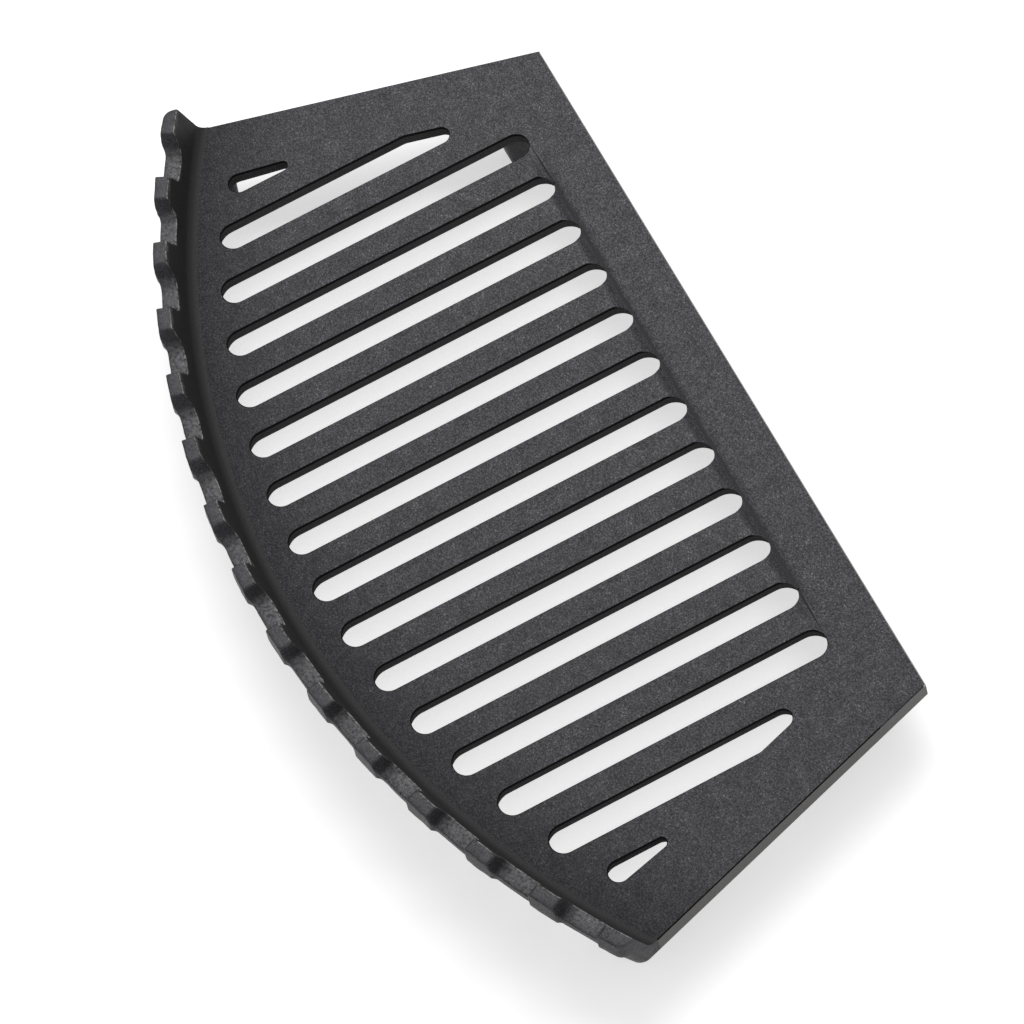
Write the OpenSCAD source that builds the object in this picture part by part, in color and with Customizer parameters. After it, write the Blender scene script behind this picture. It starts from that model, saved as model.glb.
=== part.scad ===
// Bottom grate of a 16 inch open fire: a slotted plate with a bowed, notched kerb, on four legs.
// The real grate is one iron casting. Each module is one member of it, and they meet face to face.
// Millimetres. X runs across the fire, -Y is the bowed front, +Y the straight back, +Z is up.
// The origin is on the hearth, below the middle of the grate.

/* [Plan] */
// Width across the two front corners, before they are rounded
front_w = 412.5; // [380:0.5:500]
// Width along the straight back edge
back_w = 324; // [270:1:390]
// Back edge to the foremost point of the kerb
depth = 204; // [169:1:245]
// Radius of the bowed front, where the kerb reaches furthest out
bow_r = 386; // [320:1:465]
// Plan radius of the two front corners
corner_r = 2.5; // [1.5:0.5:4]

/* [Plate] */
// Thickness of the plate and of its bars
plate_t = 8; // [6:0.5:10]
// Bevel on the top edges of the plate and of the slots
edge_break = 0.4; // [0.3:0.1:1]
// Plate left between the back edge and the slots
back_margin = 22.5; // [18:0.1:30]
// Plate left between the side edges and the slots, measured along X
side_margin = 26.5; // [22:0.5:32]
// Plate left between the foot of the kerb and the slots
front_margin = 9.3; // [6:0.1:14]
// Width of the shallow groove along the back ends of the slots
groove_w = 6.5; // [4:0.5:7]
// Depth of that groove
groove_d = 1; // [0.4:0.1:1.5]

/* [Slots] */
// Spacing of the slots, with a bar on the centre line
pitch = 23; // [19:0.5:28]
// Width of a slot at the top of the plate
slot_w = 11.3; // [10:0.1:14.5]
// Angle at which the slot walls open downwards, so that ash drops clear
slot_draft = 13; // [2:1:15]
// Radius of the narrow back end of the short slots
short_tip_r = 3.6; // [3:0.1:4.7]
// Radius of the narrow back end of the end slots
end_tip_r = 2; // [1.8:0.1:2.6]
// How much further back the end slots reach than with an outer wall along the side edge
end_reach = 3.8; // [0:0.1:5]

/* [Kerb] */
// Height of the kerb above the plate
kerb_h = 17; // [14:0.5:21]
// Thickness of the merlons, the raised parts of the kerb, at their top
kerb_t = 5.3; // [4:0.1:7]
// Angle at which the kerb's inner face leans outwards
kerb_lean = 17; // [8:1:20]
// Radius of the fillet along the kerb's inner foot
kerb_fillet = 4.5; // [3:0.5:6]
// How much further a merlon reaches at its widest level than at its top
bulge = 0.7; // [0:0.1:1]
// How far the kerb stands back between the merlons
setback = 1.7; // [1:0.1:2]
// Spacing aimed at for the notches along the kerb
notch_pitch = 30.6; // [25:0.1:37]
// Length of a merlon at its top
merlon_w = 10.8; // [9:0.1:13]
// Length of the merlon at each end of the kerb
end_merlon_w = 11; // [8:0.1:13]
// Depth of a notch below the kerb's top
notch_depth = 7.5; // [6:0.5:9.5]
// Angle at which the sides of a notch open upwards
notch_draft = 8; // [2:1:14]
// Radius between the sides of a notch and its flat floor
notch_r = 3; // [2:0.5:4]

/* [Legs] */
// Height of the plate's underside above the hearth
leg_h = 20; // [16:1:60]
// Width of a leg at its top, along X
leg_w = 15; // [12:0.5:18]
// Thickness of a leg at its top, along Y
leg_d = 13; // [11:0.5:15]
// Angle by which each side of a leg tapers to its foot
leg_taper = 3; // [0:0.5:4]
// Side edge to the centre of a front leg
front_leg_side = 15.4; // [13:0.1:20]
// Front edge of the underside to the centre of a front leg
front_leg_front = 11.5; // [9:0.1:16]
// Side edge to the centre of a back leg
back_leg_side = 26; // [20:0.5:32]
// Back edge to the centre of a back leg
back_leg_back = 24; // [20:0.5:30]

/* [Hidden] */
$fn = 96;
// Levels: underside and top of the plate, top of the kerb
z_under = leg_h;
z_deck = leg_h + plate_t;
z_top = z_deck + kerb_h;
// Back edge, and the centre of the bow's circles
back_y = depth / 2;
bow_y = bow_r - depth / 2;
// Side edges: how far they spread per millimetre towards the front
corner_y = bow_y - sqrt(bow_r ^ 2 - (front_w / 2) ^ 2);
flare = (front_w - back_w) / 2 / (back_y - corner_y);
side_angle = atan(flare);
// Levels of the kerb: floor of the notches, widest part of the merlons, and foot of their bulge
z_notch = z_top - notch_depth;
z_wide = z_notch - 1.5;
z_wall = z_wide - 3;
// Radii of the kerb: top edges of the merlons, face between them, underside, foot of the fillet
kerb_round = 0.7;
lean_run = tan(kerb_lean);
top_out = bow_r - bulge;
top_in = top_out - kerb_t;
wall_r = bow_r - setback;
under_r = wall_r - (z_wall - z_under) * lean_run;
foot_r = top_in - kerb_h * lean_run - kerb_fillet * tan((90 - kerb_lean) / 2);
kerb_mid_r = top_out - kerb_t / 2;
// Slots: half width, half width at the underside, and the arc of their front centres
slot_r = slot_w / 2;
wall_run = tan(slot_draft);
front_centre_r = foot_r - front_margin - slot_r;
back_centre_y = back_y - back_margin - slot_r;
// A straight millimetre of each slot belongs to the piece that holds its end
stub = 1;
// Passes of a cutter beyond what it cuts
over = 1;
reach = front_w;
// Least share of its width that an end slot keeps
least_share = 0.7;
// How much wider than its radius a round end sits between the two edges of a narrowing slot
wedge = 1 + 1 / cos(side_angle);

// Half width of the plate, and of the slotted field, at a given y
function side_x(y) = back_w / 2 + (back_y - y) * flare;
function field_x(y) = side_x(y) - side_margin;
// Slot j counts from the middle to each side
function slot_x(j) = (j - 0.5) * pitch;
function front_centre_y(j) = bow_y - sqrt(front_centre_r ^ 2 - slot_x(j) ^ 2);
function front_gap(j) = field_x(front_centre_y(j)) - slot_x(j) + slot_r;
slots = len([for (j = [1 : floor(front_centre_r / pitch)]) if (front_gap(j) > least_share * slot_w) j]);
function is_full(j) = field_x(back_centre_y) > slot_x(j) + slot_r / cos(side_angle);
full_slots = len([for (j = [1 : slots]) if (is_full(j)) j]);
// Round ends of a narrowing slot: its front, its knee and its tip
function front_end_r(j) = min(slot_r, front_gap(j) / wedge);
function tip_r(j) = j == slots ? end_tip_r : short_tip_r;
function y_of_field(x) = back_y - (x + side_margin - back_w / 2) / flare;
function knee_y(j) = y_of_field(slot_x(j) + slot_r / cos(side_angle));
function tip_y(j) = y_of_field(slot_x(j) - slot_r + tip_r(j) * wedge) + (j == slots ? end_reach : 0);
// Seams between the bars and the rails that they run into
function front_seam(m) = front_centre_y(min(abs(m) + 1, slots)) + stub;
function back_seam(m) =
    (abs(m) < full_slots ? back_centre_y : min(back_centre_y, tip_y(full_slots + 1))) - stub;
// Seam between the back rail and a side plate, clear of the tip of the first short slot
side_seam = max(back_centre_y - stub, tip_y(full_slots + 1) + tip_r(full_slots + 1) + edge_break + stub);
// Angle round the bow at which a circle of radius r lies a given distance inside the side edge
function bow_angle(r, inside) =
    side_angle + asin((back_w / 2 + (back_y - bow_y) * flare - inside / cos(side_angle))
        * cos(side_angle) / r);
function on_bow(r, angle) = [r * sin(angle), bow_y - r * cos(angle)];
// Notches: as many as fit at about their spacing, between two end merlons
arc_per_degree = kerb_mid_r * PI / 180;
notched_arc = 2 * bow_angle(kerb_mid_r, 0) * arc_per_degree - 2 * end_merlon_w + merlon_w;
notches = round(notched_arc / notch_pitch);
notch_step = notched_arc / notches / arc_per_degree;
notch_chord = notch_step * arc_per_degree - merlon_w;
notch_run = tan(notch_draft);
// Half length of a notch's flat floor
notch_flat = notch_chord / 2 - (notch_depth - notch_r * (1 - sin(notch_draft))) * notch_run
    - notch_r * cos(notch_draft);

bars = 2 * full_slots + 1;
function bar_name(i) = str("fire_bar_", i < 10 ? "0" : "", i);
iron = "#434347";

// Half of a slot's section, from its middle to a wall whose top edge is r away
function half_section(r) = [
    [0, over],
    [r + edge_break + over, over],
    [r, -edge_break],
    [r + (plate_t + over - edge_break) * wall_run, -plate_t - over],
    [0, -plate_t - over]
];

// The two tapers that make up a round slot end: the bevel, and the wall below it
module bevel_cone(r) {
    translate([0, 0, -edge_break])
        cylinder(r1 = r, r2 = r + edge_break + over, h = edge_break + over);
}

module wall_cone(r) {
    translate([0, 0, -plate_t - over])
        cylinder(r1 = r + (plate_t + over - edge_break) * wall_run, r2 = r, h = plate_t + over - edge_break);
}

module round_end(r) {
    rotate_extrude() polygon(half_section(r));
}

// Section of the metal removed by one slot, drawn in X and Z
module slot_section() {
    half = half_section(slot_r);
    polygon(concat(half, [for (i = [len(half) - 2 : -1 : 1]) [-half[i][0], half[i][1]]]));
}

// A slot of full width between two round ends
module full_slot(x, y_back, y_front) {
    translate([x, y_back, z_deck]) {
        round_end(slot_r);
        rotate([90, 0, 0]) linear_extrude(y_back - y_front) slot_section();
    }
    translate([x, y_front, z_deck]) round_end(slot_r);
}

// Centres and radii of the round ends that a narrowing slot is drawn round
function ends_of(j) =
    let (x = slot_x(j), r = front_end_r(j), t = tip_r(j), inner = x - slot_r)
    concat(
        [[inner + r, front_centre_y(j), r], [inner + t, tip_y(j), t]],
        r < slot_r ? [] : [[x, knee_y(j), slot_r]]
    );

// A slot whose outer wall runs parallel to the side edge, down to a narrow back end
module narrowing_slot(j) {
    hull() for (e = ends_of(j)) translate([e[0], e[1], z_deck]) wall_cone(e[2], $fn = 32);
    hull() for (e = ends_of(j)) translate([e[0], e[1], z_deck]) bevel_cone(e[2], $fn = 32);
}

// Outline of the whole plate, straight back and sides, run out past the bow
module plan() {
    y = -depth;
    linear_extrude(z_top + over)
        polygon([[-side_x(back_y), back_y], [side_x(back_y), back_y], [side_x(y), y], [-side_x(y), y]]);
}

// Everything within the foot of the kerb
module foot_disc() {
    translate([0, bow_y, 0]) cylinder(r = foot_r, h = z_top, $fn = 360);
}

// A bevel along the top of a straight edge that runs towards -Y from the origin
module bevel_along(length) {
    rotate([90, 0, 0]) translate([0, 0, -over]) linear_extrude(length + 2 * over)
        polygon([[-edge_break - over, over], [over, over], [over, -edge_break - over]]);
}

module side_bevels() {
    for (side = [0, 1]) mirror([side, 0, 0])
        translate([back_w / 2, back_y, z_deck]) rotate([0, 0, side_angle]) bevel_along(depth);
}

// Shallow dip that the slots' back ends run into: a long front flank and a short rear one
module groove() {
    rear = 1.2;
    steps = 6;
    flank = [for (i = [0 : steps])
        [-groove_w + (groove_w - rear) * i / steps, -groove_d * (1 - cos(180 * i / steps)) / 2]];
    run = slot_x(full_slots) - pitch;
    y = back_y - back_margin + rear;
    rise = atan(groove_d / pitch);
    for (side = [0, 1]) mirror([side, 0, 0]) translate([0, y, z_deck]) {
        groove_length(run, flank);
        translate([run, 0, 0]) rotate([0, -rise, 0]) groove_length(pitch + over, flank);
    }
}

module groove_length(length, flank) {
    rotate([90, 0, 90]) linear_extrude(length)
        polygon(concat(flank, [[over, over], [-groove_w - over, over]]));
}

// Plate behind the slots, with their round back ends and the teeth between them
module back_rail() {
    y = back_centre_y - stub;
    x = slot_x(full_slots);
    color(iron) difference() {
        translate([0, 0, z_under]) linear_extrude(plate_t)
            polygon(concat(
                [[-back_w / 2, back_y], [back_w / 2, back_y], [side_x(side_seam), side_seam]],
                side_seam > y ? [[x, side_seam], [x, y], [-x, y], [-x, side_seam]] : [],
                [[-side_x(side_seam), side_seam]]
            ));
        for (j = [1 : full_slots]) for (side = [-1, 1])
            full_slot(side * slot_x(j), back_centre_y, y - over);
        groove();
        side_bevels();
        translate([-back_w / 2, back_y, z_deck]) rotate([0, 0, 90]) bevel_along(back_w);
    }
}

// Plate between the last full slot and the side edge, with the narrowing slots
module side_plate() {
    tip = back_seam(full_slots);
    first = full_slots + 1;
    front = front_seam(slots);
    steps = [for (m = [slots : -1 : first]) for (x = [slot_x(m + 1), slot_x(m)])
        [m == slots && x == slot_x(m + 1) ? side_x(front) : x, front_seam(m)]];
    color(iron) difference() {
        intersection() {
            translate([0, 0, z_under]) linear_extrude(plate_t)
                polygon(concat(
                    [[slot_x(full_slots), side_seam], [side_x(side_seam), side_seam]],
                    steps,
                    [[slot_x(first), tip], [slot_x(full_slots), tip]]
                ));
            foot_disc();
        }
        full_slot(slot_x(full_slots), back_centre_y, tip - over - slot_r);
        for (j = [first : slots]) narrowing_slot(j);
        side_bevels();
    }
}

module left_side_plate() {
    mirror([1, 0, 0]) side_plate();
}

module right_side_plate() {
    side_plate();
}

// Bowed plate between the slots' front ends and the foot of the kerb, stepped to meet each bar
module front_rail() {
    steps = [for (m = [-slots : slots]) for (x = [m - 0.5, m + 0.5])
        [abs(x) > slots ? sign(x) * reach : x * pitch, front_seam(m)]];
    color(iron) difference() {
        intersection() {
            translate([0, 0, z_under]) linear_extrude(plate_t)
                polygon(concat(steps, [[reach, -depth], [-reach, -depth]]));
            foot_disc();
            plan();
        }
        for (j = [1 : slots]) for (side = [0, 1]) mirror([side, 0, 0])
            if (front_end_r(j) < slot_r) narrowing_slot(j);
            else full_slot(slot_x(j), front_centre_y(j) + pitch, front_centre_y(j));
        side_bevels();
    }
}

// Section of the kerb through a merlon: sloping faces, a bulge below the top, a fillet at the foot
module kerb_section() {
    difference() {
        polygon([
            [foot_r, z_under], [under_r, z_under], [wall_r, z_wall], [bow_r, z_wide],
            [top_out, z_top], [top_in, z_top],
            [foot_r + kerb_fillet * cos(kerb_lean), z_deck + kerb_fillet * (1 - sin(kerb_lean))],
            [foot_r, z_deck]
        ]);
        translate([foot_r, z_deck + kerb_fillet]) circle(r = kerb_fillet, $fn = 40);
        eased_edge(top_out, 1, -bulge / (z_top - z_wide));
        eased_edge(top_in, -1, lean_run);
    }
}

// Easing of one top edge of the kerb, as the section to remove
module eased_edge(r, side, lean) {
    translate([r, z_top]) polygon([
        [-side * kerb_round, over], [-side * kerb_round, 0],
        [-side * kerb_round * 0.3 - lean * kerb_round * 0.3, -kerb_round * 0.3],
        [-lean * kerb_round, -kerb_round],
        [side * over - lean * kerb_round, -kerb_round], [side * over, over]
    ]);
}

// Rounded vertical corner between a side edge and the outer face
module corner_cut() {
    r = bow_r - corner_r;
    angle = bow_angle(r, corner_r);
    place = on_bow(r, angle);
    turn = 90 + side_angle - angle;
    far = 3 * corner_r;
    translate([place[0], place[1], z_under - over]) rotate([0, 0, side_angle])
        linear_extrude(z_top - z_under + 2 * over) difference() {
            polygon([[0, 0], [far, 0], [far, -far], [far * cos(turn), -far * sin(turn)]]);
            circle(r = corner_r);
        }
}

// Outline of a notch, drawn along the bow and up from its floor: a flat floor between round corners
module notch_outline() {
    steps = 8;
    corner = [for (i = [0 : steps]) let (a = -90 + (90 - notch_draft) * i / steps)
        [notch_flat + notch_r * cos(a), notch_r * (1 + sin(a))]];
    wide = notch_chord / 2 + over * notch_run;
    half = concat(corner, [[wide, notch_depth + over]]);
    polygon(concat(half, [for (i = [len(half) - 1 : -1 : 0]) [-half[i][0], half[i][1]]]));
}

// Outline of the space between two merlons, down to the foot of their bulge
module gap_outline() {
    half = notch_chord / 2;
    low = -notch_depth - (z_notch - z_wall) - over;
    polygon([
        [half + low * notch_run, low], [half + over * notch_run, over],
        [-half - over * notch_run, over], [-half - low * notch_run, low]
    ]);
}

// One cutter for each notch, from the inside of the kerb outwards
module at_notches(z) {
    for (i = [0 : notches - 1]) translate([0, bow_y, 0])
        rotate([0, 0, (i - (notches - 1) / 2) * notch_step]) translate([0, -foot_r + over, z])
            rotate([90, 0, 0]) linear_extrude(bow_r - foot_r + 2 * over) children();
}

// Raised rim along the bow that keeps the fire on the grate, notched between merlons
module kerb() {
    color(iron) difference() {
        intersection() {
            translate([0, bow_y, 0]) rotate_extrude($fn = 360) kerb_section();
            plan();
        }
        at_notches(z_notch) notch_outline();
        difference() {
            at_notches(z_top) gap_outline();
            translate([0, bow_y, 0]) cylinder(r = wall_r, h = z_top + 2 * over, $fn = 360);
        }
        for (side = [0, 1]) mirror([side, 0, 0]) corner_cut();
    }
}

// Bar number i from the left, tapering downwards, between two slots
module fire_bar(i) {
    m = i - full_slots - 1;
    color(iron) translate([m * pitch, back_seam(m), z_deck])
        rotate([90, 0, 0]) linear_extrude(back_seam(m) - front_seam(m)) difference() {
            translate([-pitch / 2, -plate_t]) square([pitch, plate_t]);
            for (side = [-1, 1]) translate([side * pitch / 2, 0]) slot_section();
        }
}

// Stub leg, tapering on all sides, with its corners rounded
module leg(x, y) {
    half_w = leg_w / 2;
    half_d = leg_d / 2;
    in = leg_h * tan(leg_taper);
    round_r = norm([half_w, half_d]) * 0.9;
    color(iron) translate([x, y, 0]) intersection() {
        translate([0, leg_d, 0]) rotate([90, 0, 0]) linear_extrude(2 * leg_d)
            polygon([[-half_w + in, 0], [half_w - in, 0], [half_w, leg_h], [-half_w, leg_h]]);
        translate([-leg_w, 0, 0]) rotate([90, 0, 90]) linear_extrude(2 * leg_w)
            polygon([[-half_d + in, 0], [half_d - in, 0], [half_d, leg_h], [-half_d, leg_h]]);
        cylinder(r1 = round_r - in, r2 = round_r, h = leg_h);
    }
}

module front_leg(side) {
    r = under_r - front_leg_front;
    place = on_bow(r, bow_angle(r, front_leg_side));
    leg(side * place[0], place[1]);
}

module back_leg(side) {
    y = back_y - back_leg_back;
    leg(side * (side_x(y) - back_leg_side / cos(side_angle)), y);
}

back_rail();
left_side_plate();
right_side_plate();
front_rail();
kerb();
for (i = [1 : bars]) fire_bar(i);
front_leg(-1);  // leg_front_left
front_leg(1);  // leg_front_right
back_leg(-1);  // leg_back_left
back_leg(1);  // leg_back_right
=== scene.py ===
"""Looks of a bottom grate for an open fire: one sand casting in grey iron, on four short legs.

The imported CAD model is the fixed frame. Its plate, bars and rails are members of one casting, so
they take the same iron, whose patterns run through in the grate's own coordinates. The notched
kerb and the legs are swept anew, with the soft edges that a sand mould gives.
"""

import logging
import math
from dataclasses import dataclass, field
from enum import Enum
from typing import Any

import bmesh
import bpy
from mathutils import Matrix, Vector, noise

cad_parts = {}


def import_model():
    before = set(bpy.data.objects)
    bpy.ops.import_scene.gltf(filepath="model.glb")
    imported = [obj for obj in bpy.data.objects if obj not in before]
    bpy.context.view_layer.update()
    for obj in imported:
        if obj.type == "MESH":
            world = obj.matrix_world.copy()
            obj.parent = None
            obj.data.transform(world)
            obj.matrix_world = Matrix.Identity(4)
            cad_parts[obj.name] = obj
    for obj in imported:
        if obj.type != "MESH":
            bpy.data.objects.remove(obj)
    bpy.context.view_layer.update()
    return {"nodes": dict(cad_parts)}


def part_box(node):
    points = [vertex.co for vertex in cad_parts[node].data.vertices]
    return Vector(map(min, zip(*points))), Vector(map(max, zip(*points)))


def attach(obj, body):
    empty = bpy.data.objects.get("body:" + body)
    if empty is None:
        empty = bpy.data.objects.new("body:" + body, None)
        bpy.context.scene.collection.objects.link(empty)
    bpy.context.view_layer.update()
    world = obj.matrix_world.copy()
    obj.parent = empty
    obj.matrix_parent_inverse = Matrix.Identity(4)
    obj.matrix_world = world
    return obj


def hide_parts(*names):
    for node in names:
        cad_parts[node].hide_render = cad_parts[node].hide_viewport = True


LOG = logging.getLogger("grate")
MM = 0.001
NOISE_SEED = 3  # Fixes the waviness, which the clock would seed
SHARP_DEGREES = 42  # Faces that meet at more than this show an edge


def linear(hex_colour: str) -> tuple[float, float, float, float]:
    """Turns an sRGB hex colour into the linear RGBA that shaders take.

    Args:
        hex_colour: Six hex digits, with or without a leading hash.

    Returns:
        Linear red, green and blue with an alpha of one.
    """
    digits = hex_colour.lstrip("#")
    values = [int(digits[i : i + 2], 16) / 255 for i in (0, 2, 4)]
    red, green, blue = (v / 12.92 if v <= 0.04045 else ((v + 0.055) / 1.055) ** 2.4 for v in values)
    return red, green, blue, 1.0


def add_node(
    tree: bpy.types.NodeTree,
    kind: str,
    settings: dict[Any, Any],
    links: dict[Any, Any],
    output: Any = 0,
) -> Any:
    """Adds one shader node with its settings and what feeds it.

    Args:
        tree: The node tree that takes the node.
        kind: The node's type name, such as ShaderNodeTexNoise.
        settings: Values by property name, or by input socket where no property has the name.
        links: Output sockets by the input, a name or a number, that each one feeds.
        output: Name or number of the new node's output that is wanted.

    Returns:
        That output socket of the new node, or the node itself where it has no outputs.
    """
    node = tree.nodes.new(kind)
    for name, value in settings.items():
        if isinstance(name, str) and hasattr(node, name):
            setattr(node, name, value)
        else:
            node.inputs[name].default_value = value
    for name, source in links.items():
        tree.links.new(source, node.inputs[name])
    return node.outputs[output] if len(node.outputs) else node


def straight_look(tree: bpy.types.NodeTree) -> Any:
    """Tells where a ray from the camera, a reflection or a clear body looks straight at a surface.

    Args:
        tree: The node tree that takes the nodes.

    Returns:
        An output of 1 for such a ray, and of 0 for the light that falls on other things.
    """
    mirrored = add_node(tree, "ShaderNodeLightPath", {}, {}, "Is Glossy Ray")
    through = add_node(tree, "ShaderNodeLightPath", {}, {}, "Is Transmission Ray")
    camera = add_node(tree, "ShaderNodeLightPath", {}, {}, "Is Camera Ray")
    either = add_node(tree, "ShaderNodeMath", {"operation": "MAXIMUM"}, {0: mirrored, 1: through})
    return add_node(tree, "ShaderNodeMath", {"operation": "MAXIMUM"}, {0: camera, 1: either})


@dataclass(frozen=True)
class SandCastIron:
    """Grey cast iron with its dark skin, as it comes from a green-sand mould and a shot blast.

    The skin is a metallic oxide. It gives the eye a soft charcoal sheen with no mirror image and
    a fine sparkling grain left by the moulding sand. The walls of the slots are painted a dull
    shade, nearly black under their rims. Painted shade darkens the deck in front of the kerb and
    the bottom of the groove behind the slots, and painted light brightens the groove's rear side,
    the faces round the plate and the break of the back edge.
    """

    name: str = "sand_cast_grey_iron"
    # Colours of the skin, from the pits between the grains to the grains that the blast opened,
    # and its gloss
    dark_skin: str = "#2D2D2F"
    skin: str = "#38383A"
    bright_skin: str = "#444447"
    sparkle: str = "#6C6C70"
    metallic: float = 0.85
    roughness: float = 0.5
    roughness_swing: float = 0.08
    dull_shine: float = 0.0  # Of the walls painted in shade; the metal doesn't use it
    # Grain of the moulding sand. It is 0.2 to 0.3 mm, finer than a pixel of the render, so it is
    # drawn at 0.6 mm to show. The patches of the skin are drawn at their real size.
    grain_mm: float = 0.6
    grain_height_mm: float = 0.15
    grain_strength: float = 0.7
    grain_spread: tuple[float, float] = (0.35, 0.65)
    grain_share: float = 0.8
    mottle_mm: float = 7.0
    shade_places: tuple[float, float, float, float] = (0.38, 0.5, 0.62, 0.72)
    # The plate: its levels, its back edge, and its side edge by |x| + flare * y
    under_mm: float = 20.0
    deck_mm: float = 28.0
    back_mm: float = 102.0
    side_mm: float = 193.28
    flare: float = 0.3067
    bow_centre_mm: float = 284.0
    # Zones that tell its faces apart: inwards from the side and the back edge, downwards from
    # the deck to the side's break and to those of the groove and the back, and the underside's
    side_zone_mm: float = 1.2
    back_zone_mm: float = 1.0
    side_break_mm: float = 0.5
    top_zone_mm: float = 1.1
    under_zone_mm: float = 0.1
    # Painted shade on the deck, by the distance from the bow's centre
    painted_shade: str = "#1B1B1C"
    painted_shade_reach_mm: tuple[float, float] = (336.0, 372.0)
    painted_shade_share: float = 0.55
    # Painted shade along the groove: its middle line, how far from it the shade is full and ends,
    # and how far out to the sides it does
    groove_mm: float = 79.0
    groove_painted_shade_mm: tuple[float, float] = (0.8, 4.5)
    groove_end_mm: tuple[float, float] = (102.0, 124.0)
    # The groove's rear side, paler with painted light, and its soft borders, and from where no
    # steep face is a slot's wall
    groove_side_painted_light: str = "#48484A"
    groove_side_mm: tuple[float, float] = (79.6, 80.45)
    groove_soft_mm: float = 0.2
    groove_deepest_mm: float = 79.55
    # Walls of the slots, in a dull painted shade, and the black line of painted shade under their
    # rims
    steep: tuple[float, float] = (0.7, 0.95)
    slot_wall_painted_shade: str = "#606060"
    rim_painted_shade: str = "#1C1C1C"
    rim_painted_shade_depth_mm: tuple[float, float] = (2.0, 0.7)
    # Faces round the plate, painted paler as light off the floor, and the painted highlight on the
    # break of the back edge
    outer_face_painted_light: str = "#5C5B5A"
    back_break_painted_highlight: str = "#9A9A9A"

    def material(self) -> bpy.types.Material:
        """Builds the iron.

        Returns:
            The material, with its patterns in object coordinates, in metres.
        """
        made = bpy.data.materials.new(self.name)
        made.use_nodes = True
        tree = made.node_tree
        tree.nodes.clear()
        place = add_node(tree, "ShaderNodeTexCoord", {}, {}, "Object")
        sand = {"Scale": 1 / (self.grain_mm * MM), "Detail": 4.0, "Roughness": 0.6}
        grain = add_node(tree, "ShaderNodeTexNoise", sand, {"Vector": place})
        colour, hidden = self.paint(tree, place, self._skin(tree, place, grain))
        proud = {"Strength": self.grain_strength, "Distance": self.grain_height_mm * MM}
        bump = add_node(tree, "ShaderNodeBump", proud, {"Height": grain})
        cover = {"To Min": self.metallic, "To Max": 0.0}
        bare = add_node(tree, "ShaderNodeMapRange", cover, {"Value": hidden})
        sheen = {
            "From Min": self.grain_spread[0],
            "From Max": self.grain_spread[1],
            "To Min": self.roughness + self.roughness_swing,
            "To Max": self.roughness - self.roughness_swing,
        }
        gloss = add_node(tree, "ShaderNodeMapRange", sheen, {"Value": grain})
        shader = add_node(
            tree,
            "ShaderNodeBsdfPrincipled",
            {"Specular IOR Level": self.dull_shine},
            {"Base Color": colour, "Metallic": bare, "Roughness": gloss, "Normal": bump},
        )
        add_node(tree, "ShaderNodeOutputMaterial", {}, {"Surface": shader})
        return made

    def paint(self, tree: bpy.types.NodeTree, place: Any, colour: Any) -> tuple[Any, Any]:
        """Lays painted shade on the deck, the groove and the walls of the slots, and painted light
        on the groove's rear side, the faces round the plate and the back edge, over the skin of the
        plate.

        Args:
            tree: The node tree that takes the nodes.
            place: Object coordinates.
            colour: The skin's colour.

        Returns:
            The colour's output, and that of a mask of where the metal is hidden.
        """
        colour = self._paint_deck_shade(tree, place, colour)
        colour = self._paint_groove_shade_and_light(tree, place, colour)
        return self._walls(tree, place, colour)

    def _skin(self, tree: bpy.types.NodeTree, place: Any, grain: Any) -> Any:
        """Colours the skin by its grain and by larger, weaker patches.

        Args:
            tree: The node tree that takes the nodes.
            place: Object coordinates.
            grain: The grain's output.

        Returns:
            The colour's output.
        """
        cloud = {"Scale": 1 / (self.mottle_mm * MM), "Detail": 3.0, "Roughness": 0.6}
        mottle = add_node(tree, "ShaderNodeTexNoise", cloud, {"Vector": place})
        rest = {"operation": "MULTIPLY", 1: 1 - self.grain_share}
        weak = add_node(tree, "ShaderNodeMath", rest, {0: mottle})
        main_part = {"operation": "MULTIPLY_ADD", 1: self.grain_share}
        both = add_node(tree, "ShaderNodeMath", main_part, {0: grain, 2: weak})
        shades = add_node(tree, "ShaderNodeValToRGB", {}, {"Fac": both}, "Color")
        ramp = shades.node.color_ramp
        pits, most, open_grain, brightest = self.shade_places
        ramp.elements[0].position, ramp.elements[0].color = pits, linear(self.dark_skin)
        ramp.elements[1].position, ramp.elements[1].color = brightest, linear(self.sparkle)
        ramp.elements.new(most).color = linear(self.skin)
        ramp.elements.new(open_grain).color = linear(self.bright_skin)
        return shades

    def _paint_deck_shade(self, tree: bpy.types.NodeTree, place: Any, colour: Any) -> Any:
        """Paints shade on the deck, darker and darker towards the kerb.

        Args:
            tree: The node tree that takes the nodes.
            place: Object coordinates.
            colour: The colour so far.

        Returns:
            The colour's output.
        """
        flat = {"operation": "MULTIPLY", 1: (1, 1, 0)}
        plan = add_node(tree, "ShaderNodeVectorMath", flat, {0: place})
        centre = {"operation": "DISTANCE", 1: (0, self.bow_centre_mm * MM, 0)}
        radius = add_node(tree, "ShaderNodeVectorMath", centre, {0: plan}, "Value")
        none, full = self.painted_shade_reach_mm
        reach = {"From Min": none * MM, "From Max": full * MM, "To Max": self.painted_shade_share}
        share = add_node(tree, "ShaderNodeMapRange", reach, {"Value": radius})
        # Painted shade, darker towards the kerb
        painted_shade = {"data_type": "RGBA", 7: linear(self.painted_shade)}
        return add_node(tree, "ShaderNodeMix", painted_shade, {0: share, 6: colour}, 2)

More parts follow.
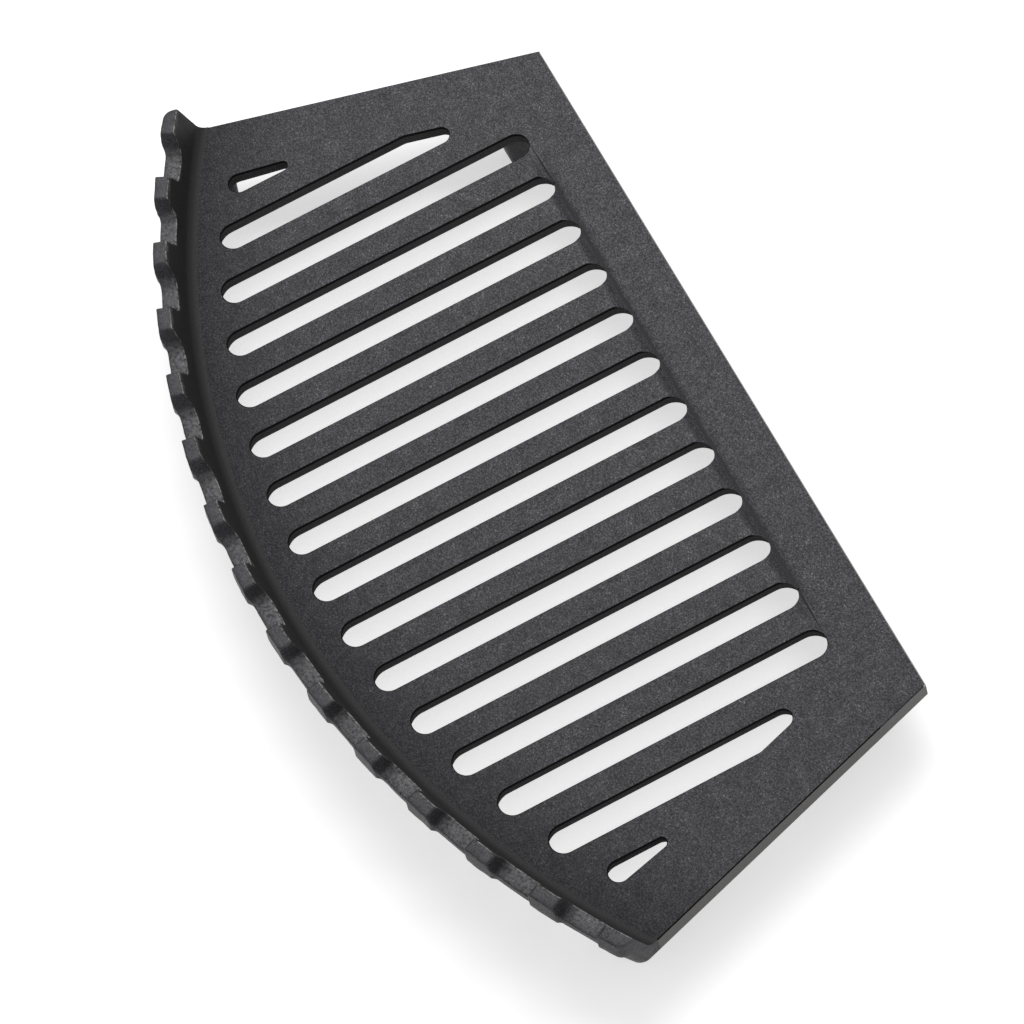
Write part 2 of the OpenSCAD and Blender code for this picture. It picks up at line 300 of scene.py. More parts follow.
    def _paint_groove_shade_and_light(self, tree: bpy.types.NodeTree, place: Any, colour: Any) -> Any:
        """Paints shade in the groove, and paints light on its rear side, which the lamp misses.

        Args:
            tree: The node tree that takes the nodes.
            place: Object coordinates.
            colour: The colour so far.

        Returns:
            The colour's output.
        """
        across = add_node(tree, "ShaderNodeSeparateXYZ", {}, {0: place}, "X")
        outward = add_node(tree, "ShaderNodeMath", {"operation": "ABSOLUTE"}, {0: across})
        full, none = self.groove_end_mm
        ends = {"From Min": none * MM, "From Max": full * MM}
        within = add_node(tree, "ShaderNodeMapRange", ends, {"Value": outward})
        along = add_node(tree, "ShaderNodeSeparateXYZ", {}, {0: place}, "Y")
        line = {"operation": "SUBTRACT", 1: self.groove_mm * MM}
        off = add_node(tree, "ShaderNodeMath", line, {0: along})
        apart = add_node(tree, "ShaderNodeMath", {"operation": "ABSOLUTE"}, {0: off})
        full, none = self.groove_painted_shade_mm
        band = {
            "interpolation_type": "SMOOTHSTEP",
            "From Min": none * MM,
            "From Max": full * MM,
            "To Max": self.painted_shade_share,
        }
        inside = add_node(tree, "ShaderNodeMapRange", band, {"Value": apart})
        product = {"operation": "MULTIPLY"}
        share = add_node(tree, "ShaderNodeMath", product, {0: inside, 1: within})
        # Painted shade along the groove
        painted_shade = {"data_type": "RGBA", 7: linear(self.painted_shade)}
        colour = add_node(tree, "ShaderNodeMix", painted_shade, {0: share, 6: colour}, 2)
        # Painted light on the groove's rear side, which the lamp misses
        low, high = self.groove_side_mm
        rear = {"From Min": (low - self.groove_soft_mm) * MM, "From Max": low * MM}
        started = add_node(tree, "ShaderNodeMapRange", rear, {"Value": along})
        crossed = {"From Min": (high + self.groove_soft_mm) * MM, "From Max": high * MM}
        ended = add_node(tree, "ShaderNodeMapRange", crossed, {"Value": along})
        strip = add_node(tree, "ShaderNodeMath", product, {0: started, 1: ended})
        side = add_node(tree, "ShaderNodeMath", product, {0: strip, 1: within})
        painted_light = {"data_type": "RGBA", 7: linear(self.groove_side_painted_light)}
        return add_node(tree, "ShaderNodeMix", painted_light, {0: side, 6: colour}, 2)

    def _walls(self, tree: bpy.types.NodeTree, place: Any, colour: Any) -> tuple[Any, Any]:
        """Paints shade on the walls of the slots, black under their rims, light off the floor on
        the faces round the plate, and a highlight on the break of the back edge.

        Args:
            tree: The node tree that takes the nodes.
            place: Object coordinates.
            colour: The colour so far.

        Returns:
            The colour's output, and that of the mask of the slots' walls.
        """
        product = {"operation": "MULTIPLY"}
        steep = self._steep_faces(tree, place)
        round_plate, back_face = self._faces_round_plate(tree, place)
        along = add_node(tree, "ShaderNodeSeparateXYZ", {}, {0: place}, "Y")
        height = add_node(tree, "ShaderNodeSeparateXYZ", {}, {0: place}, "Z")
        deepest = {"operation": "GREATER_THAN", 1: self.groove_deepest_mm * MM}
        behind = add_node(tree, "ShaderNodeMath", deepest, {0: along})
        high = {"operation": "GREATER_THAN", 1: (self.deck_mm - self.top_zone_mm) * MM}
        upper = add_node(tree, "ShaderNodeMath", high, {0: height})
        flank = add_node(tree, "ShaderNodeMath", product, {0: behind, 1: upper})
        either = {"operation": "MAXIMUM"}
        light = add_node(tree, "ShaderNodeMath", either, {0: round_plate, 1: flank})
        dark = add_node(tree, "ShaderNodeMath", {"operation": "SUBTRACT", 0: 1.0}, {1: light})
        wall = add_node(tree, "ShaderNodeMath", product, {0: steep, 1: dark})
        # Painted shade on the walls of the slots, black under their rims
        low, top = (self.deck_mm - depth for depth in self.rim_painted_shade_depth_mm)
        depth = {"From Min": low * MM, "From Max": top * MM}
        rim_painted_shade = add_node(tree, "ShaderNodeMapRange", depth, {"Value": height})
        blacks = {"data_type": "RGBA", 6: linear(self.slot_wall_painted_shade), 7: linear(self.rim_painted_shade)}
        black = add_node(tree, "ShaderNodeMix", blacks, {0: rim_painted_shade}, 2)
        layer = {0: wall, 6: colour, 7: black}
        colour = add_node(tree, "ShaderNodeMix", {"data_type": "RGBA"}, layer, 2)
        # Painted light off the floor on the faces round the plate
        lit = add_node(tree, "ShaderNodeMath", product, {0: steep, 1: round_plate})
        painted_light = {"data_type": "RGBA", 7: linear(self.outer_face_painted_light)}
        colour = add_node(tree, "ShaderNodeMix", painted_light, {0: lit, 6: colour}, 2)
        # Painted highlight on the break of the back edge
        broken = add_node(tree, "ShaderNodeMath", product, {0: back_face, 1: upper})
        edge = add_node(tree, "ShaderNodeMath", product, {0: broken, 1: steep})
        painted_highlight = {"data_type": "RGBA", 7: linear(self.back_break_painted_highlight)}
        return add_node(tree, "ShaderNodeMix", painted_highlight, {0: edge, 6: colour}, 2), wall

    def _steep_faces(self, tree: bpy.types.NodeTree, place: Any) -> Any:
        """Finds the steep faces of the plate, and leaves out its legs.

        Args:
            tree: The node tree that takes the nodes.
            place: Object coordinates.

        Returns:
            The output of a mask.
        """
        normal = add_node(tree, "ShaderNodeNewGeometry", {}, {}, "Normal")
        up = add_node(tree, "ShaderNodeSeparateXYZ", {}, {0: normal}, "Z")
        tilt = add_node(tree, "ShaderNodeMath", {"operation": "ABSOLUTE"}, {0: up})
        full, none = self.steep
        slope = {"From Min": none, "From Max": full}
        sloping = add_node(tree, "ShaderNodeMapRange", slope, {"Value": tilt})
        height = add_node(tree, "ShaderNodeSeparateXYZ", {}, {0: place}, "Z")
        over_legs = {"operation": "GREATER_THAN", 1: (self.under_mm - self.under_zone_mm) * MM}
        in_plate = add_node(tree, "ShaderNodeMath", over_legs, {0: height})
        product = {"operation": "MULTIPLY"}
        return add_node(tree, "ShaderNodeMath", product, {0: sloping, 1: in_plate})

    def _faces_round_plate(self, tree: bpy.types.NodeTree, place: Any) -> tuple[Any, Any]:
        """Finds the outer faces of the plate's sides and back.

        Args:
            tree: The node tree that takes the nodes.
            place: Object coordinates.

        Returns:
            The outputs of a mask of all these faces, and of one of the back face alone.
        """
        across = add_node(tree, "ShaderNodeSeparateXYZ", {}, {0: place}, "X")
        along = add_node(tree, "ShaderNodeSeparateXYZ", {}, {0: place}, "Y")
        height = add_node(tree, "ShaderNodeSeparateXYZ", {}, {0: place}, "Z")
        outward = add_node(tree, "ShaderNodeMath", {"operation": "ABSOLUTE"}, {0: across})
        slant = {"operation": "MULTIPLY_ADD", 1: self.flare}
        splayed = add_node(tree, "ShaderNodeMath", slant, {0: along, 2: outward})
        at_side = {"operation": "GREATER_THAN", 1: (self.side_mm - self.side_zone_mm) * MM}
        side = add_node(tree, "ShaderNodeMath", at_side, {0: splayed})
        lower = {"operation": "LESS_THAN", 1: (self.deck_mm - self.side_break_mm) * MM}
        under_break = add_node(tree, "ShaderNodeMath", lower, {0: height})
        both = {"operation": "MULTIPLY"}
        side_face = add_node(tree, "ShaderNodeMath", both, {0: side, 1: under_break})
        at_back = {"operation": "GREATER_THAN", 1: (self.back_mm - self.back_zone_mm) * MM}
        back_face = add_node(tree, "ShaderNodeMath", at_back, {0: along})
        either = {"operation": "MAXIMUM"}
        return add_node(tree, "ShaderNodeMath", either, {0: side_face, 1: back_face}), back_face


@dataclass(frozen=True)
class WornKerbIronWithPaintedLight(SandCastIron):
    """The same iron on the kerb, painted in shade on the fire's side and paler along its crest.

    Painted shade makes the face towards the fire and its fillet a flat black. The crest's level
    faces are paler, partly as wear and partly as painted light, and its inner edges carry a
    painted highlight with wear.
    """

    name: str = "worn_cast_iron_kerb_with_painted_light"
    dull_shine: float = 0.15  # The painted shade keeps a faint sheen
    # Painted shade, by how far a face turns towards the fire, with more of it on the low part
    fire_side_painted_shade: str = "#252525"
    fire_side_painted_shade_turn: tuple[float, float] = (0.05, 0.35)
    fire_side_painted_shade_below: float = 0.2
    # The crest: the levels over which its wear and painted light begin, and its patches at their
    # real size
    crest_mm: tuple[float, float] = (35.0, 36.5)
    patch_mm: float = 1.3
    patch_borders: tuple[float, float] = (0.38, 0.64)
    # Its level faces, by their upward turn, and their colours in the notches and on the merlons,
    # paler partly as wear and partly as painted light
    level_turn: tuple[float, float] = (0.55, 0.85)
    notch_floor: str = "#545455"
    merlon_top: str = "#434345"
    merlon_mm: tuple[float, float] = (39.0, 44.0)
    # Its inner edges, with a painted highlight and wear, by the product of their turns upwards and
    # towards the fire
    rubbed_and_highlit: str = "#ABA9A6"
    edge_turn: tuple[float, float] = (0.3, 0.42)

    def paint(self, tree: bpy.types.NodeTree, place: Any, colour: Any) -> tuple[Any, Any]:
        """Lays painted shade on the fire's side, and wear and painted light on the crest, by level
        and direction.

        Args:
            tree: The node tree that takes the nodes.
            place: Object coordinates.
            colour: The skin's colour.

        Returns:
            The colour's output, and that of a mask of where the metal is hidden.
        """
        inside = self._turn_inwards(tree, place)
        height = add_node(tree, "ShaderNodeSeparateXYZ", {}, {0: place}, "Z")
        low, high = self.crest_mm
        step = {"From Min": low * MM, "From Max": high * MM}
        raised = add_node(tree, "ShaderNodeMapRange", step, {"Value": height})
        below = {"To Min": self.fire_side_painted_shade_below, "To Max": 0.0}
        more = add_node(tree, "ShaderNodeMapRange", below, {"Value": raised})
        turned = add_node(tree, "ShaderNodeMath", {"operation": "ADD"}, {0: inside, 1: more})
        none, full = self.fire_side_painted_shade_turn
        facing = {"From Min": none, "From Max": full}
        fire_side_painted_shade_mask = add_node(tree, "ShaderNodeMapRange", facing, {"Value": turned})
        # Painted shade on the fire's side
        fire_side_painted_shade = {"data_type": "RGBA", 7: linear(self.fire_side_painted_shade)}
        colour = add_node(tree, "ShaderNodeMix", fire_side_painted_shade, {0: fire_side_painted_shade_mask, 6: colour}, 2)
        spots = {"Scale": 1 / (self.patch_mm * MM), "Detail": 5.0, "Roughness": 0.65}
        cloud = add_node(tree, "ShaderNodeTexNoise", spots, {"Vector": place})
        none, full = self.patch_borders
        borders = {"From Min": none, "From Max": full}
        patchy = add_node(tree, "ShaderNodeMapRange", borders, {"Value": cloud})
        product = {"operation": "MULTIPLY"}
        worn_and_lit = add_node(tree, "ShaderNodeMath", product, {0: raised, 1: patchy})
        return self._rub_and_light(tree, height, inside, worn_and_lit, colour), fire_side_painted_shade_mask

    def _turn_inwards(self, tree: bpy.types.NodeTree, place: Any) -> Any:
        """Measures how far a face turns towards the bow's centre, where the fire is.

        Args:
            tree: The node tree that takes the nodes.
            place: Object coordinates.

        Returns:
            An output from -1 to 1.
        """
        normal = add_node(tree, "ShaderNodeNewGeometry", {}, {}, "Normal")
        way = {"operation": "MULTIPLY_ADD", 1: (-1, -1, 0), 2: (0, self.bow_centre_mm * MM, 0)}
        home = add_node(tree, "ShaderNodeVectorMath", way, {0: place})
        inward = add_node(tree, "ShaderNodeVectorMath", {"operation": "NORMALIZE"}, {0: home})
        both = {0: normal, 1: inward}
        return add_node(tree, "ShaderNodeVectorMath", {"operation": "DOT_PRODUCT"}, both, "Value")

    def _rub_and_light(
        self, tree: bpy.types.NodeTree, height: Any, inside: Any, worn_and_lit: Any, colour: Any
    ) -> Any:
        """Pales the crest's level faces with wear and painted light, and gives its inner edges a
        painted highlight with wear.

        Args:
            tree: The node tree that takes the nodes.
            height: The output of the level.
            inside: The output of the turn towards the fire.
            worn_and_lit: The output of the mask of wear and painted light.
            colour: The colour so far.

        Returns:
            The colour's output.
        """
        product = {"operation": "MULTIPLY"}
        normal = add_node(tree, "ShaderNodeNewGeometry", {}, {}, "Normal")
        up = add_node(tree, "ShaderNodeSeparateXYZ", {}, {0: normal}, "Z")
        none, full = self.level_turn
        flat = {"From Min": none, "From Max": full}
        level = add_node(tree, "ShaderNodeMapRange", flat, {"Value": up})
        # Wear and painted light on the crest's level faces
        top = add_node(tree, "ShaderNodeMath", product, {0: level, 1: worn_and_lit})
        low, high = self.merlon_mm
        rise = {"From Min": low * MM, "From Max": high * MM}
        tall = add_node(tree, "ShaderNodeMapRange", rise, {"Value": height})
        greys = {"data_type": "RGBA", 6: linear(self.notch_floor), 7: linear(self.merlon_top)}
        grey = add_node(tree, "ShaderNodeMix", greys, {0: tall}, 2)
        layer = {0: top, 6: colour, 7: grey}
        colour = add_node(tree, "ShaderNodeMix", {"data_type": "RGBA"}, layer, 2)
        # Painted highlight with wear on the crest's inner edges
        slant = add_node(tree, "ShaderNodeMath", product, {0: up, 1: inside})
        none, full = self.edge_turn
        corner = {"From Min": none, "From Max": full}
        edge = add_node(tree, "ShaderNodeMapRange", corner, {"Value": slant})
        share = add_node(tree, "ShaderNodeMath", product, {0: edge, 1: worn_and_lit})
        metal = {"data_type": "RGBA", 7: linear(self.rubbed_and_highlit)}
        return add_node(tree, "ShaderNodeMix", metal, {0: share, 6: colour}, 2)


@dataclass(frozen=True)
class StudioWhite:
    """Matt white floor of a product studio, which shows the grate's shadow and no seam."""

    paint: str = "#E6E6E6"
    glow: float = 0.58

    def material(self) -> bpy.types.Material:
        """Builds the floor's paint, with a part of its white only for what looks straight at it.

        Returns:
            The material.
        """
        made = bpy.data.materials.new("matt_white_floor")
        made.use_nodes = True
        tree = made.node_tree
        tree.nodes.clear()
        paint = add_node(tree, "ShaderNodeBsdfDiffuse", {"Color": linear(self.paint)}, {})
        look = straight_look(tree)
        seen = add_node(tree, "ShaderNodeMath", {"operation": "MULTIPLY", 1: self.glow}, {0: look})
        glow = add_node(tree, "ShaderNodeEmission", {}, {"Strength": seen})
        both = add_node(tree, "ShaderNodeAddShader", {}, {0: paint, 1: glow})
        add_node(tree, "ShaderNodeOutputMaterial", {}, {"Surface": both})
        return made


@dataclass
class Studio:
    """Floor, lamp and world of the photograph, in metres and watts."""

    floor_size: float = 6.0
    world_colour: str = "#FFFFFF"
    world_strength: float = 0.4
    lamp_place: Vector = field(default_factory=lambda: Vector((-1.4, 0.75, 2.0)))
    lamp_size: float = 1.7
    lamp_power: float = 36.0
    finish: StudioWhite = field(default_factory=StudioWhite)

    def build(self) -> None:
        """Builds the floor, the world and the lamp."""
        self._floor()
        self._world()
        self._lamp()

    def _floor(self) -> None:
        """Lays the floor at the level of the feet."""
        half = self.floor_size / 2
        mesh = bpy.data.meshes.new("floor")
        corners = [(-half, -half, 0), (half, -half, 0), (half, half, 0), (-half, half, 0)]
        mesh.from_pydata(corners, [], [(0, 1, 2, 3)])
        mesh.materials.append(self.finish.material())
        floor = bpy.data.objects.new("floor", mesh)
        bpy.context.collection.objects.link(floor)

    def _world(self) -> None:
        """Fills the studio with even light, and shows plain white behind it."""
        world = bpy.data.worlds.new("studio")
        world.use_nodes = True
        tree = world.node_tree
        tree.nodes.clear()
        look = straight_look(tree)
        strengths = {"To Min": self.world_strength, "To Max": 1.0}
        strength = add_node(tree, "ShaderNodeMapRange", strengths, {"Value": look})
        white = {"Color": linear(self.world_colour)}
        sky = add_node(tree, "ShaderNodeBackground", white, {"Strength": strength})
        add_node(tree, "ShaderNodeOutputWorld", {}, {"Surface": sky})
        bpy.context.scene.world = world

    def _lamp(self) -> None:
        """Hangs a large square softbox behind the grate's left end, facing the grate."""
        data = bpy.data.lights.new("back_left_softbox", "AREA")
        data.shape, data.size, data.energy = "SQUARE", self.lamp_size, self.lamp_power
        lamp = bpy.data.objects.new("back_left_softbox", data)
        lamp.location = self.lamp_place
        lamp.rotation_mode = "QUATERNION"
        lamp.rotation_quaternion = (-self.lamp_place).to_track_quat("-Z", "Y")
        bpy.context.collection.objects.link(lamp)


@dataclass
class Viewpoint:
    """Camera of the photograph, in metres, found from the slots' and edges' places in it."""

    place: Vector = field(default_factory=lambda: Vector((0.84705, -0.10827, 1.49522)))
    right: Vector = field(default_factory=lambda: Vector((0.429124, 0.886036, -0.175480)))
    up: Vector = field(default_factory=lambda: Vector((-0.758565, 0.458987, 0.462505)))
    focal_pixels: float = 4487.86
    picture_pixels: int = 1024
    sensor_mm: float = 36.0
    clip: tuple[float, float] = (0.01, 50.0)

    def build(self) -> None:
        """Places the camera."""
        data = bpy.data.cameras.new("camera")
        data.sensor_width = self.sensor_mm
        data.lens = self.focal_pixels / self.picture_pixels * self.sensor_mm
        data.clip_start, data.clip_end = self.clip
        camera = bpy.data.objects.new("camera", data)
        back = self.right.cross(self.up)
        turned = Matrix((self.right, self.up, back)).transposed().to_4x4()
        camera.matrix_world = Matrix.Translation(self.place) @ turned
        bpy.context.collection.objects.link(camera)
        bpy.context.scene.camera = camera


def rounded(
    corners: list[tuple[float, float, float, int]], parts: dict[int, int] | None = None
) -> list[tuple[float, float]]:
    """Rounds the corners of an outline.

    Args:
        corners: Each corner's two coordinates, its radius and the steps of its arc.
        parts: Into how many parts the straight line after a point of the result is cut.

    Returns:
        The outline's points.
    """
    line: list[tuple[float, float]] = []
    for i, (x, y, radius, steps) in enumerate(corners):
        if not steps:
            line.append((x, y))
            continue
        here = Vector((x, y))
        before = (Vector(corners[i - 1][:2]) - here).normalized()
        after = (Vector(corners[(i + 1) % len(corners)][:2]) - here).normalized()
        half = before.angle(after) / 2
        middle = here + (before + after).normalized() * (radius / math.sin(half))
        start = here + before * (radius / math.tan(half)) - middle
        turn = before.angle_signed(after)
        sweep = math.copysign(math.pi - abs(turn), turn)
        for k in range(steps + 1):
            arm = start.copy()
            arm.rotate(Matrix.Rotation(sweep * k / steps, 2))
            line.append(tuple(middle + arm))
    cut: list[tuple[float, float]] = []
    for i, (x, y) in enumerate(line):
        count = (parts or {}).get(i, 1)
        next_x, next_y = line[(i + 1) % len(line)]
        cut += [(x + (next_x - x) * k / count, y + (next_y - y) * k / count) for k in range(count)]
    return cut


def spread(line: list[tuple[float, float]], longest: float) -> list[tuple[float, float]]:
    """Cuts the long parts of a line into equal shorter ones.

    Args:
        line: The line's points.
        longest: The length that no part may be over.

    Returns:
        The line with the points between.
    """
    out = [line[0]]
    for (ax, ay), (bx, by) in zip(line, line[1:]):
        count = max(1, math.ceil(math.hypot(bx - ax, by - ay) / longest))
        for k in range(1, count + 1):
            out.append((ax + (bx - ax) * k / count, ay + (by - ay) * k / count))
    return out


def lofted(
    name: str, rings: list[list[Vector]], node: str, iron: bpy.types.Material
) -> bpy.types.Object:
    """Joins rings of points into a closed skin that stands for one member of the casting.

    Args:
        name: The piece's name.
        rings: Rings of as many points each, in millimetres, from one end to the other.
        node: The CAD node that the piece stands for.
        iron: Its material.

    Returns:
        The piece, which rides on the grate.
    """
    around = len(rings[0])
    last = (len(rings) - 1) * around
    faces: list[tuple[int, ...]] = []
    for ring in range(0, last, around):
        for j in range(around):
            k = (j + 1) % around
            faces.append((ring + j, ring + k, ring + around + k, ring + around + j))
    faces += [tuple(reversed(range(around))), tuple(range(last, last + around))]
    shape = bmesh.new()
    points = [shape.verts.new(point * MM) for outline in rings for point in outline]
    for face in faces:
        shape.faces.new([points[i] for i in face])
    bmesh.ops.recalc_face_normals(shape, faces=shape.faces)
    mesh = bpy.data.meshes.new(name)
    shape.to_mesh(mesh)
    shape.free()
    mesh.shade_smooth()
    mesh.set_sharp_from_angle(angle=math.radians(SHARP_DEGREES))
    mesh.materials.append(iron)
    piece = bpy.data.objects.new(name, mesh)
    bpy.context.collection.objects.link(piece)
    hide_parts(node)
    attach(piece, "root")
    LOG.info("%s: %d faces", name, len(mesh.polygons))
    return piece


@dataclass
class Kerb:
    """Notched kerb along the bow, with the rounded edges that the mould and the fettling leave.

    It stands where the CAD kerb stands. Its sizes, in millimetres, are the CAD kerb's, but for
    the rounder outer corners and the draft and softer flanks of the notches, which follow the
    photograph. The section is swept round the bow, and its top falls and rises with the notches.
    """

    bow_radius: float = 386.0
    bow_centre_y: float = 284.0
    back_half_width: float = 162.0
    front_half_width: float = 206.25
    back_y: float = 102.0
    corner_radius: float = 3.2
    under: float = 20.0
    deck: float = 28.0
    wall_level: float = 33.0
    wide_level: float = 36.0
    top: float = 45.0
    thickness: float = 5.3
    lean: float = math.radians(17)
    fillet: float = 4.5
    bulge: float = 0.7
    setback: float = 1.7
    notches: int = 14
    notch_depth: float = 7.5
    notch_draft: float = math.radians(9)
    notch_radius: float = 3.0
    merlon_width: float = 10.8
    end_merlon_width: float = 11.0
    # Edges: of the top, of the notches' shoulders, under the outside, at its bend, and the drop
    # of the last ring at each end
    edge_radius: float = 0.7
    shoulder_radius: float = 1.3
    under_radius: float = 0.4
    bend_radius: float = 2.0
    end_break: float = 0.6
    # Gentler left flanks of the notches: how much later the floor begins there on each half of
    # the kerb, and how much earlier the shoulder stands
    soft_left_half: float = 3.2
    soft_right_half: float = 2.0
    shoulder_shift: float = 0.3
    # Share of the notch's depth over which the outside comes forward to the merlons
    forward_share: float = 0.7
    # Rings: how far apart, how many round each end, and where they begin to turn to the side edge
    ring_gap: float = 1.3
    end_rings: int = 7
    turn_from: float = 1.5
    # Waviness of the sand mould, the lengths of its waves and ripples, and the height above the
    # deck where it begins, which it also takes to grow full
    waviness: float = 0.16
    wave: float = 5.0
    ripple: float = 1.9
    ripple_share: float = 0.5
    calm: float = 3.0
    finish: WornKerbIronWithPaintedLight = field(default_factory=WornKerbIronWithPaintedLight)

    def __post_init__(self) -> None:
        """Works out the radii, the side edges and the notches' spacing."""
        self.top_out = self.bow_radius - self.bulge
        self.top_in = self.top_out - self.thickness
        self.wall = self.bow_radius - self.setback
        self.slope = math.tan(self.lean)
        self.corner = self.top_in - (self.top - self.deck) * self.slope
        self.foot = self.corner - self.fillet * math.tan((math.pi / 2 - self.lean) / 2)
        corner_y = self.bow_centre_y - math.sqrt(self.bow_radius**2 - self.front_half_width**2)
        self.flare = (self.front_half_width - self.back_half_width) / (self.back_y - corner_y)
        self.middle = self.top_out - self.thickness / 2
        self.half_length = self._end_angle(self.middle) * self.middle
        notched = 2 * (self.half_length - self.end_merlon_width) + self.merlon_width
        self.spacing = notched / self.notches

    def build(self) -> bpy.types.Object:
        """Sweeps the kerb and dresses it.

        Returns:
            The kerb's object.
        """
        rings = [self._section(place, level) for place, level in self._levels()]
        return lofted("notched_kerb", rings, "kerb", self.finish.material())

    def _end_angle(self, radius: float) -> float:
        """Finds where a circle round the bow's centre meets the grate's side edge.

        Args:
            radius: The circle's radius.

        Returns:
            The angle from the middle of the bow, in radians.
        """
        side = math.atan(self.flare)
        reach = self.back_half_width + (self.back_y - self.bow_centre_y) * self.flare
        return side + math.asin(reach * math.cos(side) / radius)

    def _levels(self) -> list[tuple[float, float]]:
        """Follows the top of the kerb from its left end to its right end.

        Returns:
            Places along the kerb's middle line, from its centre, and the level of the top there.
        """
        half = (self.spacing - self.merlon_width) / 2
        floor = self.top - self.notch_depth
        foot = half - self.notch_depth * math.tan(self.notch_draft)
        end, top = self.half_length, self.top
        turns = [math.pi / 2 * i / self.end_rings for i in range(self.end_rings)]
        round_end = [(end - self.corner_radius * (1 - math.sin(turn)), top) for turn in turns]
        round_end.append((end, top - self.end_break))
        line = [(-place, level) for place, level in reversed(round_end)]
        for i in range(self.notches):
            centre = (i - (self.notches - 1) / 2) * self.spacing
            soft = self.soft_left_half if centre < 0 else self.soft_right_half
            corners = [  # Place, level, radius and the steps of the arc
                (line[-1][0], top, 0.0, 0),
                (centre - half - self.shoulder_shift, top, self.shoulder_radius, 6),
                (centre - foot + soft, floor, self.notch_radius + soft, 9),
                (centre + foot, floor, self.notch_radius, 8),
                (centre + half, top, self.shoulder_radius, 6),
                (centre + half + self.merlon_width / 2, top, 0.0, 0),
            ]
            line += spread(rounded(corners), self.ring_gap)[1:]
        return line[:-1] + round_end

    def _section(self, place: float, level: float) -> list[Vector]:
        """Cuts the kerb across.

        Args:
            place: Distance from the kerb's middle along its middle line.
            level: Level of its top there.

        Returns:
            The points round the section, in the grate's coordinates, in millimetres.
        """
        risen = (level - self.top + self.notch_depth) / (self.forward_share * self.notch_depth)
        share = min(1.0, max(0.0, risen))
        proud = share * share * (3 - 2 * share)
        past = max(0.0, abs(place) - self.half_length + self.corner_radius)
        inset = self.corner_radius - math.sqrt(max(0.0, self.corner_radius**2 - past**2))
        wall = self.wall - inset
        wide = wall + proud * self.setback
        outer = wide - proud * self.bulge * (level - self.wide_level) / (self.top - self.wide_level)
        inner = self.top_in - (self.top - level) * self.slope
        under = wall - (self.wall_level - self.under) * self.slope
        corners = [  # Radius from the bow's centre, level, radius and the steps of the arc
            (self.foot, self.under, 0.0, 0),
            (under, self.under, self.under_radius, 2),
            (wall, self.wall_level, self.bend_radius, 3),
            (wide, self.wide_level, 0.0, 0),
            (outer, level, self.edge_radius, 4),
            (inner, level, self.edge_radius, 4),
            (self.corner, self.deck, self.fillet, 12),
            (self.foot, self.deck, 0.0, 0),
        ]
        # The underside, the outside below, at and above its bend, the top and the inside
        parts = {0: 2, 3: 3, 7: 2, 8: 3, 13: 3, 18: 5}
        outline = rounded(corners, parts)[:-1]  # The fillet's arc ends in the last corner
        return [self._placed(place, radius, height) for radius, height in outline]

    def _placed(self, place: float, radius: float, height: float) -> Vector:
        """Puts a point of a section on the bow, a little off it as the sand of the mould leaves it.

        Args:
            place: Distance from the kerb's middle along its middle line.
            radius: The point's radius round the bow's centre.
            height: Its level.

        Returns:
            The point, in millimetres.
        """
        turn = self.half_length - self.end_merlon_width + self.turn_from
        angle = min(abs(place), turn) / self.middle
        past = max(0.0, abs(place) - turn) / (self.half_length - turn)
        angle = math.copysign(angle + past * (self._end_angle(radius) - angle), place)
        across, along = radius * math.sin(angle), self.bow_centre_y - radius * math.cos(angle)
        point = Vector((across, along, height))
        free = min(1.0, max(0.0, (height - self.deck - self.calm) / self.calm))
        waves = noise.noise_vector(point / self.wave) * self.waviness
        ripples = noise.noise_vector(point / self.ripple) * self.waviness * self.ripple_share
        return point + (waves + ripples) * free


class LegPlace(Enum):
    """The four legs, by the CAD node of each."""

    FRONT_LEFT = "leg_front_left"
    FRONT_RIGHT = "leg_front_right"
    BACK_LEFT = "leg_back_left"
    BACK_RIGHT = "leg_back_right"


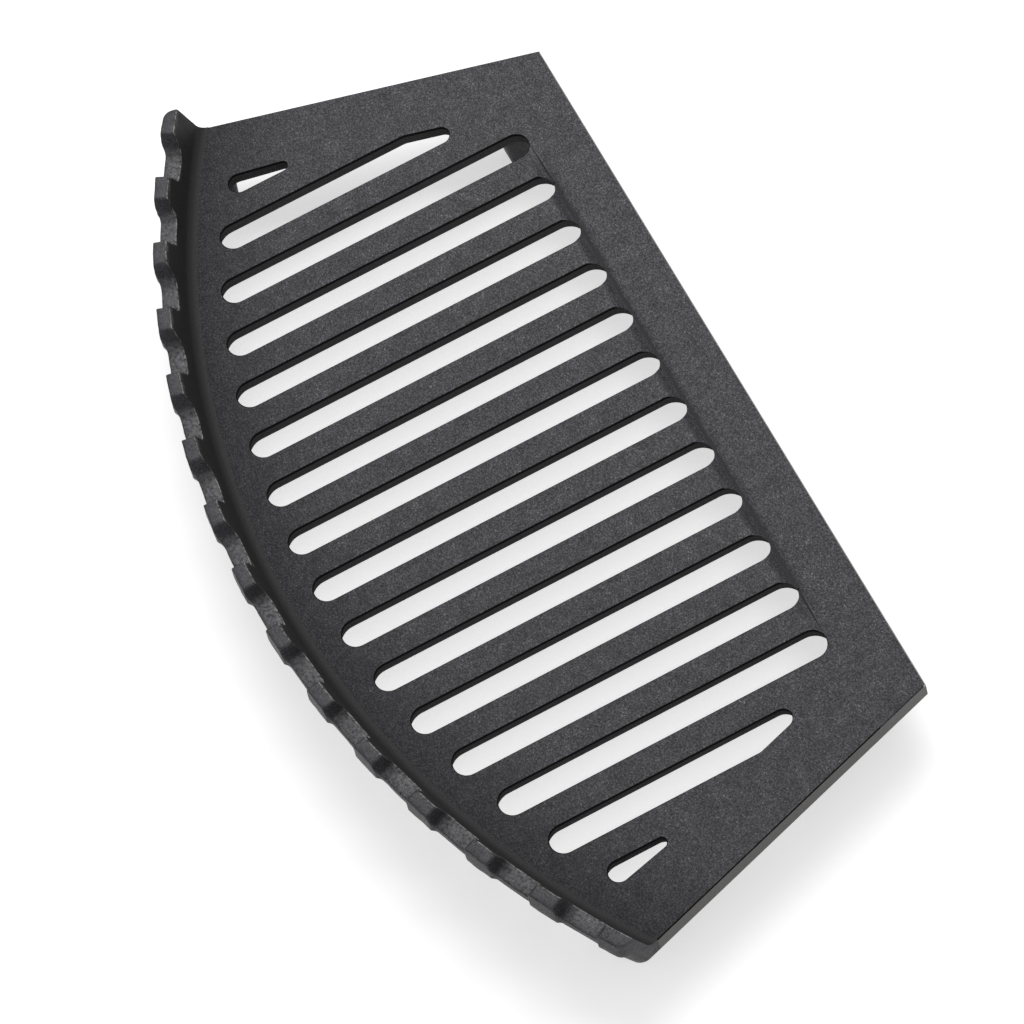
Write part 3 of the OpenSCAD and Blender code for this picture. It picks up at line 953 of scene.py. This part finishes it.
@dataclass
class Leg:
    """A short cast leg under the plate, with round corners, draft and a softened sole.

    Its sizes are in millimetres. The width, depth and height come from the CAD leg.
    """

    place: LegPlace
    iron: bpy.types.Material
    draft: float = math.radians(4.6)
    corner_share: float = 0.56
    sole_radius: float = 1.2
    rings: int = 8
    sole_rings: int = 5
    corner_steps: int = 6
    side_parts: int = 4
    # Waviness of the sand mould, which fades out towards the sole and the plate
    waviness: float = 0.2
    wave: float = 6.0
    calm: float = 3.0

    def build(self) -> bpy.types.Object:
        """Sweeps the leg from the plate's underside down to the floor.

        Returns:
            The leg's object.
        """
        low, high = (Vector(corner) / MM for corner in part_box(self.place.value))
        middle, half = (low + high) / 2, (high - low) / 2
        height = high.z - low.z
        levels = [height * (1 - i / self.rings) for i in range(self.rings)]
        for i in range(self.sole_rings + 1):
            levels.append(self.sole_radius * (1 - math.sin(math.pi / 2 * i / self.sole_rings)))
        rings = []
        for level in levels:
            sunk = max(0.0, self.sole_radius - level)
            edge = self.sole_radius - math.sqrt(max(0.0, self.sole_radius**2 - sunk**2))
            inset = (height - level) * math.tan(self.draft) + edge
            rings.append(self._ring(middle, half.x - inset, half.y - inset, low.z + level, height))
        name = self.place.value.replace("leg", "cast_leg")
        return lofted(name, rings, self.place.value, self.iron)

    def _ring(
        self, middle: Vector, half_x: float, half_y: float, level: float, height: float
    ) -> list[Vector]:
        """Draws the leg's outline at one level.

        Args:
            middle: The middle of the leg.
            half_x: Half its width there.
            half_y: Half its depth there.
            level: The level, in millimetres.
            height: Height of the leg.

        Returns:
            The outline's points.
        """
        radius = self.corner_share * min(half_x, half_y)
        ways = ((-1, -1), (1, -1), (1, 1), (-1, 1))
        corners = [(x * half_x, y * half_y, radius, self.corner_steps) for x, y in ways]
        ends = [(self.corner_steps + 1) * (i + 1) - 1 for i in range(len(ways))]
        points = []
        for x, y in rounded(corners, {end: self.side_parts for end in ends}):
            point = Vector((middle.x + x, middle.y + y, level))
            above, below = level / self.calm, max(0.0, height - level) / self.calm
            free = min(1.0, above, below) * self.waviness
            shift = noise.noise_vector(point / self.wave) * free
            points.append(point + Vector((shift.x, shift.y, 0)))
        return points


@dataclass
class Casting:
    """All members of the casting."""

    nodes: dict[str, Any]
    finish: SandCastIron = field(default_factory=SandCastIron)

    def build(self) -> None:
        """Dresses the members that the CAD frame gives, and sweeps the kerb and the legs."""
        iron = self.finish.material()
        for name, member in self.nodes.items():
            member.data.materials.clear()
            member.data.materials.append(iron)
            LOG.info("%s: %d faces", name, len(member.data.polygons))
        Kerb().build()
        for place in LegPlace:
            Leg(place, iron).build()


def main() -> None:
    """Builds the grate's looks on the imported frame."""
    logging.basicConfig(level=logging.INFO, format="%(name)s: %(message)s")
    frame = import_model()
    noise.seed_set(NOISE_SEED)
    bpy.context.scene.view_settings.view_transform = "Standard"
    Viewpoint().build()
    Studio().build()
    Casting(frame["nodes"]).build()


if __name__ == "__main__":
    main()
